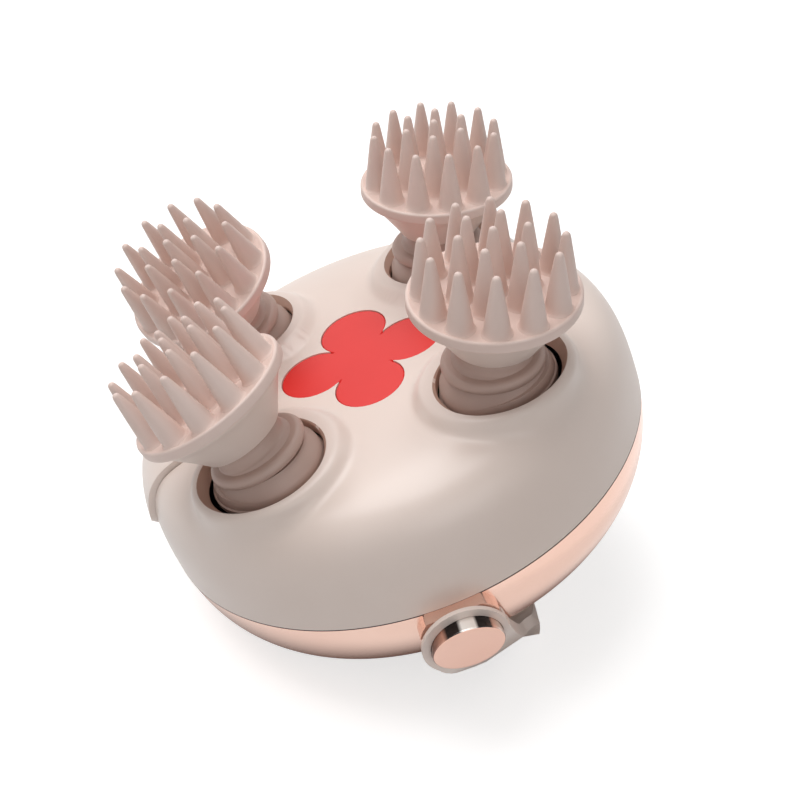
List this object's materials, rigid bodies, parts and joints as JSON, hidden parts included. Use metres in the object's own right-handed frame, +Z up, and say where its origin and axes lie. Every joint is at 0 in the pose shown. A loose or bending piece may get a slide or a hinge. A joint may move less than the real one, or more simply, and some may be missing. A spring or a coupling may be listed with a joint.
{
  "type": "electric_scalp_massager",
  "caption": "Handheld electric scalp massager: a round pebble body with gyrating heads of soft fingers, a lit window, a push button and a bail handle",
  "frame": {"origin": "middle of the flat base face, on the body's axis", "axes": "+Z up against gravity, +Y along the bail's pivots, away from the pictured side, +X toward the bail's bar, where the body is raised"},
  "size_m": [0.113, 0.1246, 0.0986],
  "materials": {
    "shell": "satin moulded plastic, warm white",
    "button": "satin moulded plastic, warm white",
    "cup_plastic": "satin moulded plastic, warm white",
    "silicone": "soft silicone, warm white",
    "boot_silicone": "soft silicone, warm white",
    "rose_gold": "satin metallic rose gold",
    "rose_gold_cap": "polished metallic rose gold",
    "red_window": "smooth lit red",
    "steel": "plain rolled",
    "nylon": "natural nylon",
    "board": "solder mask",
    "dark_plastic": "matte"
  },
  "bodies": {
    "housing": {"upper_shell": "shell", "rose_band": "rose_gold", "base_cover": "shell", "light_window": "red_window", "light_board": "board", "button_switch": "dark_plastic", "chassis_plate": "steel", "bearing_plate": "steel", "drive_motor": "steel", "battery_cell": "dark_plastic", "circuit_board": "board", "charging_port": "steel", "base_screws": "steel", "stud_near": "rose_gold_cap", "stud_far": "rose_gold_cap"},
    "drive": {"drive_gear": "nylon"},
    "crank_a": {"crank_a": "nylon", "boot_a": "boot_silicone"},
    "head_a": {"massage_head_a": "silicone", "head_cup_a": "cup_plastic"},
    "crank_b": {"crank_b": "nylon", "boot_b": "boot_silicone"},
    "head_b": {"massage_head_b": "silicone", "head_cup_b": "cup_plastic"},
    "crank_c": {"crank_c": "nylon", "boot_c": "boot_silicone"},
    "head_c": {"massage_head_c": "silicone", "head_cup_c": "cup_plastic"},
    "crank_d": {"crank_d": "nylon", "boot_d": "boot_silicone"},
    "head_d": {"massage_head_d": "silicone", "head_cup_d": "cup_plastic"},
    "bail": {"bail_handle": "shell"},
    "button": {"power_button": "button"}
  },
  "joints": [
    {"name": "drive_turn", "type": "hinge", "parent": "housing", "child": "drive", "pos_m": [-0.00835, 0, 0.02431], "axis": [-0.3247, 0, 0.9458], "continuous": true},
    {"name": "crank_a_turn", "type": "hinge", "parent": "housing", "child": "crank_a", "pos_m": [-0.03826, 0.0254, 0.03677], "axis": [-0.3247, 0, 0.9458], "continuous": true},
    {"name": "head_a_roll", "type": "hinge", "parent": "crank_a", "child": "head_a", "pos_m": [-0.03826, 0.0254, 0.03677], "axis": [-0.4553, -0.2189, 0.863], "continuous": true},
    {"name": "crank_b_turn", "type": "hinge", "parent": "housing", "child": "crank_b", "pos_m": [-0.03826, -0.0254, 0.03677], "axis": [-0.3247, 0, 0.9458], "continuous": true},
    {"name": "head_b_roll", "type": "hinge", "parent": "crank_b", "child": "head_b", "pos_m": [-0.03826, -0.0254, 0.03677], "axis": [-0.5317, 0.1308, 0.8368], "continuous": true},
    {"name": "crank_c_turn", "type": "hinge", "parent": "housing", "child": "crank_c", "pos_m": [0.00761, 0.0254, 0.05252], "axis": [-0.3247, 0, 0.9458], "continuous": true},
    {"name": "head_c_roll", "type": "hinge", "parent": "crank_c", "child": "head_c", "pos_m": [0.00761, 0.0254, 0.05252], "axis": [-0.0673, -0.0548, 0.9962], "continuous": true},
    {"name": "crank_d_turn", "type": "hinge", "parent": "housing", "child": "crank_d", "pos_m": [0.00761, -0.0254, 0.05252], "axis": [-0.3247, 0, 0.9458], "continuous": true},
    {"name": "head_d_roll", "type": "hinge", "parent": "crank_d", "child": "head_d", "pos_m": [0.00761, -0.0254, 0.05252], "axis": [-0.0799, -0.0986, 0.9919], "continuous": true},
    {"name": "bail_swing", "type": "hinge", "parent": "housing", "child": "bail", "pos_m": [-0.00461, 0, 0.01343], "axis": [0, 1, 0], "range_deg": [-8, 44]},
    {"name": "button_press", "type": "slide", "parent": "housing", "child": "button", "axis": [0.9167, 0, -0.3995], "range_m": [0, 0.0008], "stiffness_N_per_m": 300, "springref_m": -0.0004}
  ],
  "couplings": [
    {"joint": "crank_a_turn", "follows": "drive_turn", "ratio": -1.3333},
    {"joint": "head_a_roll", "follows": "drive_turn", "ratio": 1.3333},
    {"joint": "crank_b_turn", "follows": "drive_turn", "ratio": -1.3333},
    {"joint": "head_b_roll", "follows": "drive_turn", "ratio": 1.3333},
    {"joint": "crank_c_turn", "follows": "drive_turn", "ratio": -1.3333},
    {"joint": "head_c_roll", "follows": "drive_turn", "ratio": 1.3333},
    {"joint": "crank_d_turn", "follows": "drive_turn", "ratio": -1.3333},
    {"joint": "head_d_roll", "follows": "drive_turn", "ratio": 1.3333}
  ]
}
